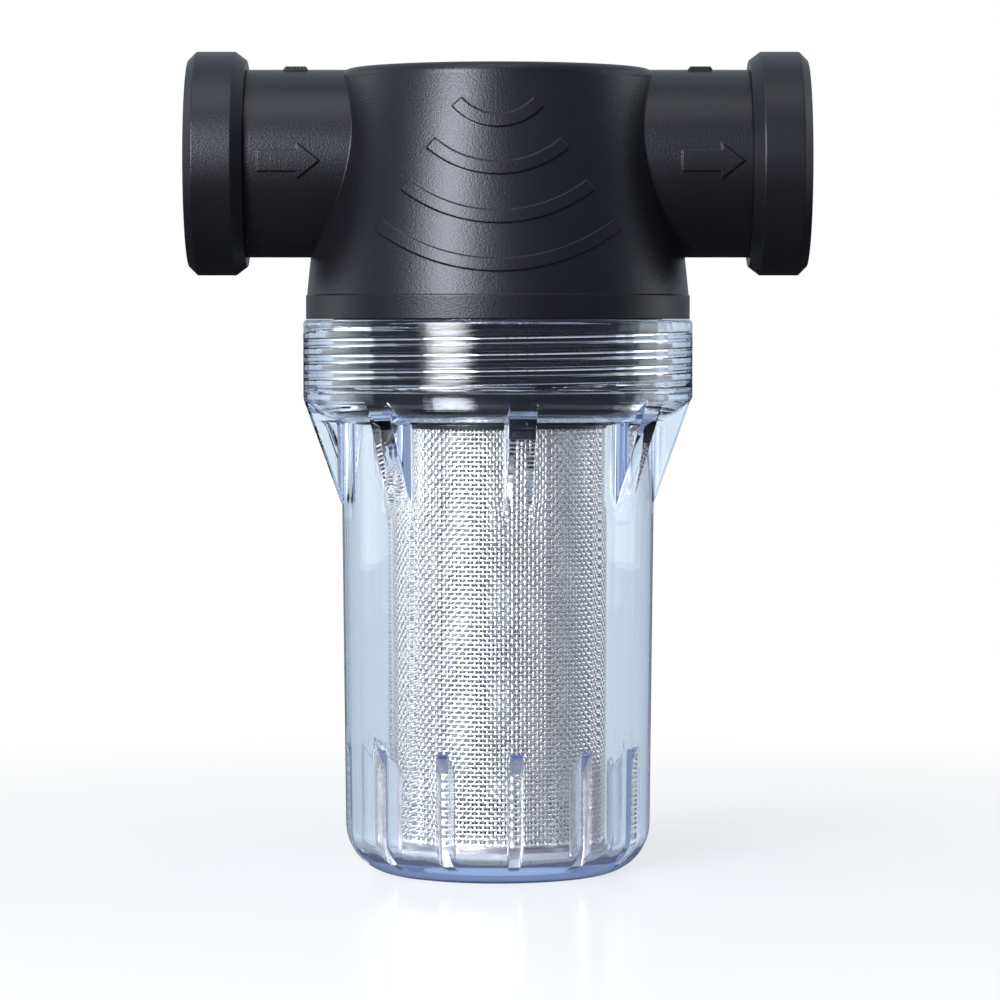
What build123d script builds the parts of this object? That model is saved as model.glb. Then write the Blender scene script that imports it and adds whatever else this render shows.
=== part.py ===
from build123d import *
import math
import os

# Inline sediment water filter: a moulded head with two threaded ports, a clear bowl screwed up under it,
# and a woven screen cartridge that hangs from the head's outlet spigot inside the bowl.
# Millimetres. Z is up, the bowl stands on Z = 0, water flows along +X, and the front faces -Y.

# Ports
port_axis_height = 134.6
port_reach = 58.5
port_thread_radius = 13.3
port_thread_length = 15.0
port_mouth_chamfer = 1.0
neck_radius = 17.75
passage_radius = 10.0
port_ring_radius = 21.15
port_ring_width = 11.0
port_ring_chamfer = 1.6
port_ring_back_slope = 2.1
port_ring_wall = 4.2
washer_thickness = 2.4
washer_lip = 0.5

# Head
head_base_height = 105.2
head_base_radius = 36.4
head_band_height = 4.5
head_band_step = 0.2
head_waist_radius = 33.7
head_waist_height = 130.0
head_crown_radius = 29.9
head_top_height = 152.4
head_top_rounding = 2.0
chamber_radius = 26.2
chamber_ceiling_height = 117.0
chamber_corner_radius = 4.0
drop_radius = 7.5
passage_wall = 3.0

# Raised marks on the head
mark_height = 0.4
wave_centre_height = 151.4
wave_width = 2.35
wave_radii = [9.9, 18.6, 27.5, 36.3]
wave_half_angles = [49.3, 41.4, 38.5, 37.2]
arrow_centre_offset = 39.5
arrow_shift = 0.55
arrow_length = 11.6
arrow_head_length = 4.2
arrow_shaft_height = 3.9
arrow_head_height = 6.65
tab_centre_offset = 38.2
tab_length = 4.6
tab_width = 6.0
tab_height = 0.5
tab_chamfer = 0.4

# Screwed joint between the head's skirt and the bowl
skirt_root_radius = 31.2
plug_radius = 32.0
plug_bottom_height = 88.4
plug_top_height = 91.6
plug_rounding = 2.0
ledge_rounding = 1.8
thread_depth = 2.7
plug_clearance = 0.3
rim_gap = 0.3
rim_chamfer = 0.8

# Bowl seal, an O-ring in the skirt's lower face
seal_radius = 28.4
seal_cord_radius = 1.0
seal_squeeze = 0.3
seal_groove_clearance = 0.15
seal_gap = 0.1

# Bowl
collar_radius = 36.9
collar_bottom_height = 90.1
collar_rounding = 0.8
bowl_radius_top = 29.8
bowl_radius_bottom = 28.8
bowl_wall = 2.9
bowl_floor = 4.5
bowl_corner_radius = 9.5
bowl_inner_corner_radius = 3.5
shoulder_bottom_height = 86.0
shoulder_bulge = 0.45
gusset_count = 8
gusset_phase = 7.5
gusset_thickness = 5.2
gusset_foot_height = 70.1
gusset_foot_sink = 0.1
guide_count = 12
guide_phase = 7.5
guide_thickness = 2.2
guide_top_height = 24.8
guide_lead_height = 3.9

# Screen cartridge
screen_radius = 20.5
screen_thickness = 0.5
screen_bottom_height = 7.2
screen_top_height = 86.3
screen_seam_width = 4.9
screen_seam_angle = -74.0
screen_seam_height = 0.2
cap_radius = 21.3
cap_collar_wall = 1.6
cap_collar_length = 2.4
cap_flange = 2.0
cap_seat_gap = 0.1
pad_radius = 22.2
pad_thickness = 1.2
pad_gap = 0.2
guide_gap = 0.3
band_thickness = 0.8
band_height = 1.5
hoop_height = 2.4
hoop_thickness = 1.0

# Outlet spigot and the socket on the cartridge
spigot_radius = 12.5
spigot_gap = 0.3
socket_length = 8.6
socket_clearance = 0.35
socket_wall = 4.0
socket_rounding = 0.8
socket_seal_cord_radius = 1.25
running_gap = 0.05

# Places worked out from the sizes above
port_ring_inner_radius = port_ring_radius - port_ring_wall
port_ring_start = port_reach - port_ring_width
relief_end = port_reach - port_mouth_chamfer - port_thread_length
relief_start = relief_end - washer_thickness
relief_radius = port_thread_radius + washer_lip
head_band_top = head_base_height + head_band_height
thread_bore_radius = skirt_root_radius + thread_depth
plug_bore_radius = plug_radius + plug_clearance
rim_height = head_base_height - rim_gap
groove_inner_radius = seal_radius - seal_cord_radius - seal_groove_clearance
groove_outer_radius = seal_radius + seal_cord_radius + seal_groove_clearance
groove_depth = 2 * seal_cord_radius - seal_squeeze
ledge_height = plug_bottom_height - seal_squeeze - seal_gap
bowl_inner_top = bowl_radius_top - bowl_wall
bowl_inner_bottom = bowl_radius_bottom - bowl_wall
pad_bottom = bowl_floor + pad_gap
cap_bottom = pad_bottom + pad_thickness
guide_inner_radius = pad_radius + guide_gap
screen_inner_radius = screen_radius - screen_thickness
cap_collar_radius = screen_inner_radius - cap_seat_gap
top_flange_bottom = screen_top_height + cap_seat_gap
top_flange_top = top_flange_bottom + cap_flange
spigot_bottom = top_flange_top + spigot_gap
socket_radius = spigot_radius + socket_clearance
socket_outer_radius = socket_radius + socket_wall
socket_top = top_flange_top + socket_length
socket_seal_radius = spigot_radius + running_gap + socket_seal_cord_radius
socket_groove_radius = socket_seal_radius + socket_seal_cord_radius
socket_groove_bottom = (top_flange_top + socket_top) / 2 - socket_seal_cord_radius
socket_groove_top = socket_groove_bottom + 2 * socket_seal_cord_radius


def line(start, end):
    """Straight edge between two (radius, height) points."""
    return Line(start, end)


def arc(start, via, end):
    """Round edge through three (radius, height) points."""
    return ThreePointArc(start, via, end)


def quarter(start, corner, end):
    """Quarter-round edge from start to end, bulging towards the corner between them."""
    reach = math.sqrt(0.5)
    via = [s + e - c + (c - (s + e - c)) * reach for s, e, c in zip(start, end, corner)]
    return ThreePointArc(start, tuple(via), end)


def turned(*edges):
    """Solid turned about the vertical axis from a closed outline of (radius, height) edges."""
    return revolve(Plane.XZ * make_face(Curve() + list(edges)), Axis.Z)


def turned_polygon(*points):
    """Solid turned about the vertical axis from the corners of its half section."""
    return revolve(Plane.XZ * make_face(Polyline(*points, close=True)), Axis.Z)


def ring(inner_radius, outer_radius, bottom, top):
    """Square-edged ring about the vertical axis."""
    corners = [(inner_radius, bottom), (outer_radius, bottom), (outer_radius, top), (inner_radius, top)]
    return turned_polygon(*corners)


def o_ring(mean_radius, cord_radius, centre_height):
    """Round-section ring about the vertical axis."""
    return Pos(0, 0, centre_height) * Torus(mean_radius, cord_radius)


def along_port(side, outline):
    """Solid turned about the port axis from (distance from the bowl's axis, radius) corners, on one side."""
    drawn = Plane.XZ * make_face(Polyline(*outline, close=True))
    body = Pos(0, 0, port_axis_height) * revolve(drawn, Axis.X)
    return body if side > 0 else mirror(body, Plane.YZ)


def port_cylinder(side, radius, start, end):
    """Round bar on the port axis between two distances from the bowl's axis."""
    return along_port(side, [(start, 0), (end, 0), (end, radius), (start, radius)])


def around(body, count, phase):
    """Copies of a body that starts on +X, spread evenly about the vertical axis."""
    turns = [phase - 90 + 360 * step / count for step in range(count)]
    return [Rot(0, 0, turn) * body for turn in turns]


def head_form(extra):
    """Barrel-sided body of the head above its base band, grown sideways by extra."""
    base = head_base_radius - head_band_step + extra
    crown = head_crown_radius + extra
    shoulder = head_top_height - head_top_rounding
    waist = head_waist_radius + extra
    flat = crown - head_top_rounding
    return turned(
        line((0, head_band_top), (base, head_band_top)),
        arc((base, head_band_top), (waist, head_waist_height), (crown, shoulder)),
        quarter((crown, shoulder), (crown, head_top_height), (flat, head_top_height)),
        line((flat, head_top_height), (0, head_top_height)),
        line((0, head_top_height), (0, head_band_top)),
    )


def skirt():
    """Threaded skirt below the head, with the plain plug and the face groove at its lower end."""
    inner = chamber_radius
    lower = plug_bottom_height
    edge = plug_radius - plug_rounding
    return turned(
        line((inner, lower), (groove_inner_radius, lower)),
        line((groove_inner_radius, lower), (groove_inner_radius, lower + groove_depth)),
        line((groove_inner_radius, lower + groove_depth), (groove_outer_radius, lower + groove_depth)),
        line((groove_outer_radius, lower + groove_depth), (groove_outer_radius, lower)),
        line((groove_outer_radius, lower), (edge, lower)),
        quarter((edge, lower), (plug_radius, lower), (plug_radius, lower + plug_rounding)),
        line((plug_radius, lower + plug_rounding), (plug_radius, plug_top_height)),
        line((plug_radius, plug_top_height), (skirt_root_radius, plug_top_height)),
        line((skirt_root_radius, plug_top_height), (skirt_root_radius, head_base_height)),
        line((skirt_root_radius, head_base_height), (inner, head_base_height)),
        line((inner, head_base_height), (inner, lower)),
    )


def chamber():
    """Ring-shaped inlet space round the spigot, open at the bottom, with a rounded ceiling."""
    wall, top, corner = chamber_radius, chamber_ceiling_height, chamber_corner_radius
    return turned(
        line((spigot_radius, head_base_height), (wall, head_base_height)),
        line((wall, head_base_height), (wall, top - corner)),
        quarter((wall, top - corner), (wall, top), (wall - corner, top)),
        line((wall - corner, top), (spigot_radius + corner, top)),
        quarter((spigot_radius + corner, top), (spigot_radius, top), (spigot_radius, top - corner)),
        line((spigot_radius, top - corner), (spigot_radius, head_base_height)),
    )


def port_space(side):
    """Threaded mouth, washer seat and lead-in chamfer of one port."""
    mouth = port_thread_radius + port_mouth_chamfer
    chamfer_end = port_reach - port_mouth_chamfer
    return along_port(side, [
        (relief_start, 0), (port_reach, 0), (port_reach, mouth), (chamfer_end, port_thread_radius),
        (relief_end, port_thread_radius), (relief_end, relief_radius), (relief_start, relief_radius),
    ])


def waterways():
    """The inlet way, which drops into the chamber, and the outlet way, which rises through the spigot."""
    drop_centre = passage_radius + passage_wall + drop_radius
    inlet = port_cylinder(-1, passage_radius, passage_radius + passage_wall, relief_start)
    drop_height = port_axis_height - chamber_ceiling_height
    drop_place = Pos(-drop_centre, 0, chamber_ceiling_height + drop_height / 2)
    drop = drop_place * Cylinder(drop_radius, drop_height)
    outlet = port_cylinder(1, passage_radius, 0, relief_start)
    riser_height = port_axis_height - spigot_bottom
    riser = Pos(0, 0, spigot_bottom + riser_height / 2) * Cylinder(passage_radius, riser_height)
    elbow = Pos(0, 0, port_axis_height) * Sphere(passage_radius)
    return [inlet, drop, outlet, riser, elbow]


def waves():
    """Four raised arcs on the front of the head, each a slice of a ring pushed back onto its side."""
    grown = head_form(mark_height)
    front = Plane(origin=(0, 0, wave_centre_height), x_dir=(1, 0, 0), z_dir=(0, -1, 0))
    made = []
    for radius, half_angle in zip(wave_radii, wave_half_angles):
        band = Circle(radius + wave_width / 2) - Circle(radius - wave_width / 2)
        far = 2 * radius
        side = far * math.tan(math.radians(half_angle))
        wedge = make_face(Polyline((0, 0), (-side, -far), (side, -far), close=True))
        made.append(extrude(front * (band & wedge), head_base_radius + mark_height) & grown)
    return made


def arrow(side):
    """Raised flow arrow on the front of one neck, pointing along +X."""
    centre = side * arrow_centre_offset + arrow_shift
    tail, tip = centre - arrow_length / 2, centre + arrow_length / 2
    barb = tip - arrow_head_length
    shaft, head = arrow_shaft_height / 2, arrow_head_height / 2
    outline = [
        (tail, -shaft), (barb, -shaft), (barb, -head), (tip, 0),
        (barb, head), (barb, shaft), (tail, shaft),
    ]
    front = Plane(origin=(0, 0, port_axis_height), x_dir=(1, 0, 0), z_dir=(0, -1, 0))
    prism = extrude(front * make_face(Polyline(*outline, close=True)), neck_radius + mark_height)
    grown = port_cylinder(side, neck_radius + mark_height, passage_radius, port_ring_start)
    return prism & grown


def tab(side):
    """Low tab with sloped ends along the top of one neck."""
    half, top = tab_length / 2, tab_height
    outline = [(-half, -top), (half, -top), (half, 0), (half - tab_chamfer, top), (tab_chamfer - half, top), (-half, 0)]
    drawn = extrude(Plane.XZ * make_face(Polyline(*outline, close=True)), tab_width / 2, both=True)
    return Pos(side * tab_centre_offset, 0, port_axis_height + neck_radius) * drawn


def head_body():
    """Moulded head: barrel body, base band, two necks, threaded skirt, spigot and waterways."""
    body = head_form(0) + ring(0, head_base_radius, head_base_height, head_band_top)
    for side in (-1, 1):
        body += port_cylinder(side, neck_radius, 0, port_ring_start)
        body += port_cylinder(side, port_ring_inner_radius, port_ring_start, port_reach)
        body += arrow(side)
        body += tab(side)
    for wave in waves():
        body += wave
    body += skirt()
    body -= chamber()
    body += ring(0, spigot_radius, spigot_bottom, chamber_ceiling_height)
    for space in [*waterways(), port_space(-1), port_space(1)]:
        body -= space
    return body


def port_ring(side):
    """Reinforcing ring pressed over the end of one neck."""
    inner, outer = port_ring_inner_radius, port_ring_radius
    cut, slope = port_ring_chamfer, port_ring_back_slope
    return along_port(side, [
        (port_ring_start, inner), (port_reach, inner), (port_reach, outer - cut),
        (port_reach - cut, outer), (port_ring_start + slope, outer), (port_ring_start, outer - cut),
    ])


def port_washer(side):
    """Flat rubber washer held in the relief at the inner end of one port's thread."""
    inner, outer = passage_radius, relief_radius
    return along_port(side, [(relief_start, inner), (relief_end, inner), (relief_end, outer), (relief_start, outer)])


def bowl_outside():
    """Turned outer form of the bowl: rounded foot, drafted side, shoulder and collar."""
    foot = bowl_corner_radius
    low, high = bowl_radius_bottom, bowl_radius_top
    via_radius = (high + collar_radius) / 2 + shoulder_bulge
    via_height = (shoulder_bottom_height + collar_bottom_height) / 2 - shoulder_bulge
    rim_edge = collar_radius - collar_rounding
    rim_start = rim_height - collar_rounding
    return turned(
        line((0, 0), (low - foot, 0)),
        quarter((low - foot, 0), (low, 0), (low, foot)),
        line((low, foot), (high, shoulder_bottom_height)),
        arc((high, shoulder_bottom_height), (via_radius, via_height), (collar_radius, collar_bottom_height)),
        line((collar_radius, collar_bottom_height), (collar_radius, rim_start)),
        quarter((collar_radius, rim_start), (collar_radius, rim_height), (rim_edge, rim_height)),
        line((rim_edge, rim_height), (0, rim_height)),
        line((0, rim_height), (0, 0)),
    )


def bowl_space():
    """Turned space inside the bowl: sump, seal ledge, plug bore, thread bore and lead-in chamfer."""
    corner = bowl_inner_corner_radius
    low, high = bowl_inner_bottom, bowl_inner_top
    mouth = thread_bore_radius + rim_chamfer
    chamfer_start = rim_height - rim_chamfer
    ledge_edge, ledge_top = plug_bore_radius - ledge_rounding, ledge_height + ledge_rounding
    return turned(
        line((0, bowl_floor), (low - corner, bowl_floor)),
        quarter((low - corner, bowl_floor), (low, bowl_floor), (low, bowl_floor + corner)),
        line((low, bowl_floor + corner), (high, ledge_height)),
        line((high, ledge_height), (ledge_edge, ledge_height)),
        quarter((ledge_edge, ledge_height), (plug_bore_radius, ledge_height), (plug_bore_radius, ledge_top)),
        line((plug_bore_radius, ledge_top), (plug_bore_radius, plug_top_height)),
        line((plug_bore_radius, plug_top_height), (thread_bore_radius, plug_top_height)),
        line((thread_bore_radius, plug_top_height), (thread_bore_radius, chamfer_start)),
        line((thread_bore_radius, chamfer_start), (mouth, rim_height)),
        line((mouth, rim_height), (0, rim_height)),
        line((0, rim_height), (0, bowl_floor)),
    )


def gusset():
    """One outside gusset, on +X, sloping from the collar's lower edge down to the wall."""
    root = bowl_radius_top - bowl_wall / 2
    outline = [
        (root, gusset_foot_height), (bowl_radius_top - gusset_foot_sink, gusset_foot_height),
        (collar_radius, collar_bottom_height), (root, collar_bottom_height),
    ]
    return extrude(Plane.XZ * make_face(Polyline(*outline, close=True)), gusset_thickness / 2, both=True)


def guide():
    """One inside guide rib, on +X, from the floor up the wall, with a lead-in slope at its top."""
    root = bowl_radius_bottom - bowl_wall / 2
    outline = [
        (guide_inner_radius, bowl_floor / 2), (root, bowl_floor / 2),
        (root, guide_top_height), (guide_inner_radius, guide_top_height - guide_lead_height),
    ]
    return extrude(Plane.XZ * make_face(Polyline(*outline, close=True)), guide_thickness / 2, both=True)


def bowl():
    """Clear bowl with its gussets and guide ribs."""
    outside = bowl_outside()
    body = outside
    for rib in around(gusset(), gusset_count, gusset_phase):
        body += rib
    body -= bowl_space()
    for rib in around(guide(), guide_count, guide_phase):
        body += rib & outside
    return body


def screen_mesh():
    """Tube of the woven screen with its lapped seam."""
    tube = ring(screen_inner_radius, screen_radius, screen_bottom_height, screen_top_height)
    height = screen_top_height - screen_bottom_height
    lap = ring(screen_inner_radius, screen_radius + screen_seam_height, screen_bottom_height, screen_top_height)
    reach = screen_radius + screen_seam_height
    strip = Box(2 * reach, screen_seam_width, height, align=(Align.MIN, Align.CENTER, Align.MIN))
    seam = lap & (Pos(0, 0, screen_bottom_height) * Rot(0, 0, screen_seam_angle) * strip)
    return tube + seam


def screen_top_cap():
    """Top cap: collar inside the screen, flange, and socket that slips over the outlet spigot."""
    bore, wall = socket_radius, socket_outer_radius
    body = turned_polygon(
        (passage_radius, top_flange_bottom),
        (cap_collar_radius - cap_collar_wall, top_flange_bottom),
        (cap_collar_radius - cap_collar_wall, top_flange_bottom - cap_collar_length),
        (cap_collar_radius, top_flange_bottom - cap_collar_length),
        (cap_collar_radius, top_flange_bottom),
        (cap_radius, top_flange_bottom),
        (cap_radius, top_flange_top),
        (wall, top_flange_top),
        (wall, socket_top - socket_rounding),
        (wall - socket_rounding, socket_top),
        (bore + socket_rounding, socket_top),
        (bore, socket_top - socket_rounding),
        (bore, socket_groove_top),
        (socket_groove_radius, socket_groove_top),
        (socket_groove_radius, socket_groove_bottom),
        (bore, socket_groove_bottom),
        (bore, top_flange_top),
        (passage_radius, top_flange_top),
    )
    return body


def screen_bottom_cap():
    """Closed bottom cap with a grooved rim and a collar inside the screen."""
    seat = screen_bottom_height - cap_seat_gap
    collar_inner = cap_collar_radius - cap_collar_wall
    return turned_polygon(
        (0, cap_bottom),
        (cap_radius, cap_bottom),
        (cap_radius, seat),
        (cap_collar_radius, seat),
        (cap_collar_radius, seat + cap_collar_length),
        (collar_inner, seat + cap_collar_length),
        (collar_inner, seat),
        (0, seat),
    )


def screen_parts():
    """The cartridge's pieces by name."""
    hoop_bottom = screen_bottom_height - cap_seat_gap + cap_collar_length
    band_inner = screen_radius + screen_seam_height
    band_bottom = screen_top_height - band_height
    return {
        "screen_mesh": screen_mesh(),
        "screen_top_cap": screen_top_cap(),
        "screen_top_band": ring(band_inner, band_inner + band_thickness, band_bottom, screen_top_height),
        "screen_top_seal": o_ring(
            socket_seal_radius, socket_seal_cord_radius, (socket_groove_bottom + socket_groove_top) / 2
        ),
        "screen_bottom_cap": screen_bottom_cap(),
        "screen_bottom_pad": ring(0, pad_radius, pad_bottom, cap_bottom),
        "screen_hoop": ring(
            cap_collar_radius - hoop_thickness, cap_collar_radius, hoop_bottom, hoop_bottom + hoop_height
        ),
    }


def build():
    """Every piece of the filter by name."""
    seal_centre = plug_bottom_height + groove_depth - seal_cord_radius
    return {
        "head_body": head_body(),
        "inlet_ring": port_ring(-1),
        "outlet_ring": port_ring(1),
        "inlet_washer": port_washer(-1),
        "outlet_washer": port_washer(1),
        "bowl_seal": o_ring(seal_radius, seal_cord_radius, seal_centre),
        "bowl": bowl(),
        **screen_parts(),
    }


os.makedirs("parts", exist_ok=True)
for name, shape in build().items():
    export_step(shape, f"parts/{name}.step")
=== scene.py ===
"""Looks of an inline sediment water filter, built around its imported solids.

Metres, Z up, the bowl's foot on Z = 0, water flowing along +X, the front facing -Y.
"""
import logging
import math
from dataclasses import dataclass
from enum import Enum
from typing import Optional, Union

import bpy
import numpy as np
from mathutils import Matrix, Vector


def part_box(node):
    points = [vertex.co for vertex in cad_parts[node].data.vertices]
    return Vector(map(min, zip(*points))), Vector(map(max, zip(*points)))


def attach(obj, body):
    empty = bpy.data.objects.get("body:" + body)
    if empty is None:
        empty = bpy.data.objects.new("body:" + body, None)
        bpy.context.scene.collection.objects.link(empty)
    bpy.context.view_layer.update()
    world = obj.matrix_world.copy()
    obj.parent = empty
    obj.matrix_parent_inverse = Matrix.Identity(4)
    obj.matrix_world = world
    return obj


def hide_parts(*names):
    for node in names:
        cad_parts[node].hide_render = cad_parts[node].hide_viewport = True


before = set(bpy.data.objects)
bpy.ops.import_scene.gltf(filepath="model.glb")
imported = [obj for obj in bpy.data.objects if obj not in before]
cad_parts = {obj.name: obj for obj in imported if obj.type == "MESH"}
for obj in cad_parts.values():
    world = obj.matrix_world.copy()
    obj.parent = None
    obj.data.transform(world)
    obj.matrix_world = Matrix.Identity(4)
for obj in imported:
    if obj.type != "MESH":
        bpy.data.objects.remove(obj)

logging.basicConfig(level=logging.INFO, format="%(message)s")
log = logging.getLogger("filter")

Array = np.ndarray
Arrays = tuple[Array, Array]
Node = bpy.types.Node
Socket = bpy.types.NodeSocket
Colour = tuple[float, float, float, float]
Paint = Union[Colour, Socket]
Input = Union["Value", Socket, float, tuple]
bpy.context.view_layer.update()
MM = 0.001
TURN = 2 * math.pi
RIM_EXTRA = 0.2 * MM    # how far the visual bowl's rim stands above the solid's


class Side(Enum):
    """The two ends of the flow line."""

    INLET = -1
    OUTLET = 1


class Spread(Enum):
    """How a wire of the cloth runs."""

    WARP = "up the screen"
    WEFT = "round the screen"


class Value:
    """A number socket of a material, with the arithmetic that the finishes use."""

    def __init__(self, graph: "Graph", socket: Socket) -> None:
        """Keeps the socket and the graph that new Math nodes go into."""
        self.graph = graph
        self.socket = socket

    def _math(self, operation: str, left: Input, right: Input) -> "Value":
        """Adds a Math node and returns its result."""
        return self.graph.value("ShaderNodeMath", {"operation": operation}, {0: left, 1: right})

    def __add__(self, other: Input) -> "Value":
        """Sum."""
        return self._math("ADD", self, other)

    def __radd__(self, other: Input) -> "Value":
        """Sum with a number on the left."""
        return self._math("ADD", other, self)

    def __sub__(self, other: Input) -> "Value":
        """Difference."""
        return self._math("SUBTRACT", self, other)

    def __rsub__(self, other: Input) -> "Value":
        """Difference from a number on the left."""
        return self._math("SUBTRACT", other, self)

    def __mul__(self, other: Input) -> "Value":
        """Product."""
        return self._math("MULTIPLY", self, other)

    def __rmul__(self, other: Input) -> "Value":
        """Product with a number on the left."""
        return self._math("MULTIPLY", other, self)


class Graph:
    """The node tree of one new material or of the world."""

    def __init__(self, tree: bpy.types.NodeTree) -> None:
        """Empties the tree.

        Args:
            tree: The tree that the nodes go into.
        """
        self.tree = tree
        self.tree.nodes.clear()

    def node(self, kind: str, settings: Optional[dict] = None, inputs: Optional[dict] = None) -> Node:
        """Adds a node.

        Args:
            kind: The node's type name.
            settings: Its properties, such as a Math node's operation.
            inputs: A value or link for each named or numbered socket.

        Returns:
            The new node.
        """
        made = self.tree.nodes.new(kind)
        for name, setting in (settings or {}).items():
            setattr(made, name, setting)
        self.feed(made, inputs or {})
        return made

    def feed(self, node: Node, inputs: dict) -> None:
        """Gives a node's named or numbered sockets their values or links."""
        for name, given in inputs.items():
            source = given.socket if isinstance(given, Value) else given
            if isinstance(source, Socket):
                self.tree.links.new(source, node.inputs[name])
            else:
                node.inputs[name].default_value = source

    def value(self, kind: str, settings: Optional[dict] = None, inputs: Optional[dict] = None,
              output: Union[int, str] = 0) -> Value:
        """Adds a node and returns one of its number outputs, ready for arithmetic."""
        return Value(self, self.node(kind, settings, inputs).outputs[output])

    def place(self) -> Socket:
        """Object coordinates, in metres."""
        return self.node("ShaderNodeTexCoord").outputs["Object"]

    def parts(self, vector: Socket) -> tuple[Value, Value, Value]:
        """Splits a vector into its three numbers."""
        made = self.node("ShaderNodeSeparateXYZ", None, {"Vector": vector})
        return tuple(Value(self, output) for output in made.outputs)

    def arm(self) -> Socket:
        """The level vector from the vertical axis to the place."""
        x, y, _ = self.parts(self.place())
        return self.node("ShaderNodeCombineXYZ", None, {"X": x, "Y": y}).outputs[0]

    def length(self, vector: Socket) -> Value:
        """Length of a vector."""
        return self.value("ShaderNodeVectorMath", {"operation": "LENGTH"}, {0: vector}, "Value")

    def noise(self, scale: float, detail: float = 2.0, vector: Optional[Socket] = None) -> Value:
        """Smooth noise with the given number of features per metre."""
        inputs = {"Vector": vector or self.place(), "Scale": scale, "Detail": detail}
        return self.value("ShaderNodeTexNoise", None, inputs)

    def stretched(self, scale: tuple[float, float, float]) -> Socket:
        """The place, scaled along each axis."""
        return self.node("ShaderNodeMapping", None, {"Vector": self.place(), "Scale": scale}).outputs[0]

    def spread(self, given: Input, low: float, high: float, to_low: float = 0.0,
               to_high: float = 1.0) -> Value:
        """Maps a range of a value onto another range, clamped."""
        inputs = {"Value": given, "From Min": low, "From Max": high, "To Min": to_low, "To Max": to_high}
        return self.value("ShaderNodeMapRange", None, inputs)

    def bump(self, height: Value, depth: float, under: Optional[Socket] = None) -> Socket:
        """Relief of the given depth in metres for a height from 0 to 1."""
        inputs = {"Height": height, "Distance": depth}
        if under is not None:
            inputs["Normal"] = under
        return self.node("ShaderNodeBump", None, inputs).outputs["Normal"]

    def mix(self, factor: Value, first: Paint, second: Paint) -> Socket:
        """Blends two colours, from the first at 0 to the second at 1."""
        inputs = {"Factor": factor, 6: first, 7: second}
        return self.node("ShaderNodeMix", {"data_type": "RGBA"}, inputs).outputs[2]

    def blend(self, factor: Input, first: Node, second: Node) -> Node:
        """Blends two shaders, from the first at 0 to the second at 1."""
        return self.node("ShaderNodeMixShader", None, {0: factor, 1: first.outputs[0], 2: second.outputs[0]})

    def rays(self) -> bpy.types.bpy_prop_collection:
        """What is known of the ray that is being followed."""
        return self.node("ShaderNodeLightPath").outputs

    def glow(self, colour: Paint, strength: Input = 1.0, kind: str = "Emission") -> Node:
        """Plain light of one colour, as a surface or, with the kind Background, as the world."""
        return self.node(f"ShaderNode{kind}", None, {"Color": colour, "Strength": strength})


@dataclass(frozen=True)
class Finish:
    """A surface finish; each kind adds what it paints."""

    name: str
    colour: Colour

    def material(self) -> bpy.types.Material:
        """Builds the material, or finds it if another piece has built it.

        Returns:
            The finished material.
        """
        made = bpy.data.materials.get(self.name)
        if made is not None:
            return made
        made = bpy.data.materials.new(self.name)
        made.use_nodes = True
        graph = Graph(made.node_tree)
        shader = graph.node("ShaderNodeBsdfPrincipled", None, self.constants())
        graph.feed(shader, self.paint(graph))
        surface = self.surface(graph, shader).outputs[0]
        graph.node("ShaderNodeOutputMaterial", None, {"Surface": surface, **self.inside(graph)})
        return made

    def inside(self, graph: Graph) -> dict:
        """What fills the piece, for the material's output; nothing unless it is clear."""
        return {}

    def surface(self, graph: Graph, shader: Node) -> Node:
        """The shader that goes to the material's output."""
        return shader

    def constants(self) -> dict:
        """Shader settings that are the same all over."""
        return {"Base Color": self.colour}

    def paint(self, graph: Graph) -> dict:
        """Shader inputs that change over the surface."""
        raise NotImplementedError


@dataclass(frozen=True)
class MouldedPlastic(Finish):
    """Black moulded plastic with a fine spark-eroded grain, left polished below a given height."""

    worn_colour: Colour
    roughness: float
    grain_per_metre: float
    grain_depth: float
    edge_radius: float
    polished_below: float = -1.0
    polished_roughness: float = 0.125
    polish_fade: float = 0.3 * MM
    drift_per_metre: float = 35.0

    def constants(self) -> dict:
        """Body of the moulding, with its slightly blue gloss."""
        tint = (0.86, 0.88, 1.0, 1.0)
        return {"Base Color": self.colour, "Specular IOR Level": 0.47, "Specular Tint": tint}

    def paint(self, graph: Graph) -> dict:
        """Slow drift of tone and gloss with fine specks, eased edges, and grain above the polished part."""
        _, _, height = graph.parts(graph.place())
        grained = graph.spread(height, self.polished_below, self.polished_below + self.polish_fade)
        drift = graph.noise(self.drift_per_metre, 3.0)
        speck = graph.noise(self.grain_per_metre * 1.4, 1.0)
        grain = graph.noise(self.grain_per_metre, 1.0)
        tone = graph.spread(drift * 0.6 + speck * 0.4, 0.35, 0.65)
        drifting = graph.spread(drift, 0.3, 0.7, self.roughness - 0.03, self.roughness + 0.03)
        gloss = drifting + (speck - 0.5) * 0.08
        eased = graph.node("ShaderNodeBevel", {"samples": 8}, {"Radius": self.edge_radius}).outputs["Normal"]
        return {
            "Base Color": graph.mix(tone, self.colour, self.worn_colour),
            "Roughness": gloss * grained + self.polished_roughness * (1 - grained),
            "Normal": graph.bump(grain * grained, self.grain_depth, eased),
        }


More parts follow.
